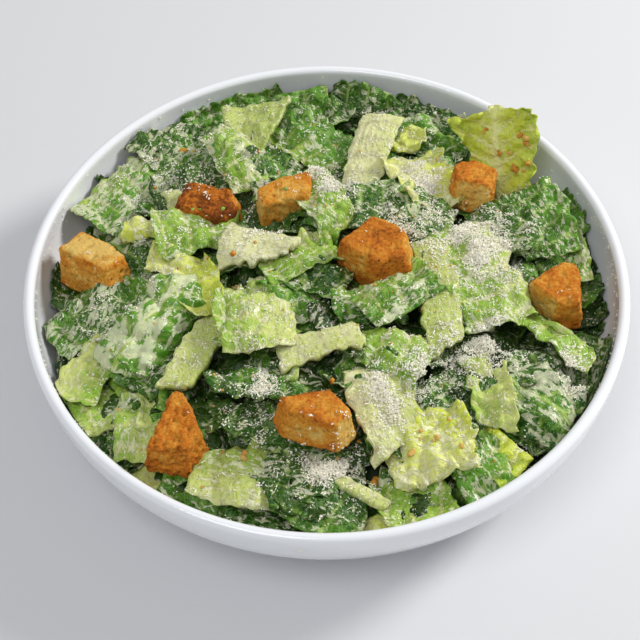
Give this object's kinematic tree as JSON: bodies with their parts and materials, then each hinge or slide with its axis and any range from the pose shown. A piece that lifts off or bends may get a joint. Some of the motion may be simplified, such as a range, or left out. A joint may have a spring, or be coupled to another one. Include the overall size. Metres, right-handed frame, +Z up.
{
  "type": "caesar salad in a bowl",
  "caption": "Low white bowl filled with a loose mound of chopped dressed romaine, toasted bread cubes and shredded hard cheese; ready to eat, one serving.",
  "frame": {"origin": "centre of the bowl's foot ring, on the surface it stands on", "axes": "+Z up along the bowl's turning axis; +Y away from the diner; +X to the diner's right"},
  "size_m": [0.24, 0.24, 0.0744],
  "materials": {
    "porcelain": "clear gloss glaze over white body",
    "romaine": "moist leaf with a thin film of creamy dressing",
    "heart_leaf": "moist pale heart leaf",
    "toast": "dry toasted crumb with a brown crust",
    "hard_cheese": "dry, finely grated hard cheese"
  },
  "bodies": {
    "root": {"bowl": "porcelain", "lettuce_heap": "romaine", "standing_leaf": "heart_leaf", "crouton_1": "toast", "crouton_2": "toast", "crouton_3": "toast", "crouton_4": "toast", "crouton_5": "toast", "crouton_6": "toast", "crouton_7": "toast", "crouton_8": "toast"}
  },
  "joints": []
}
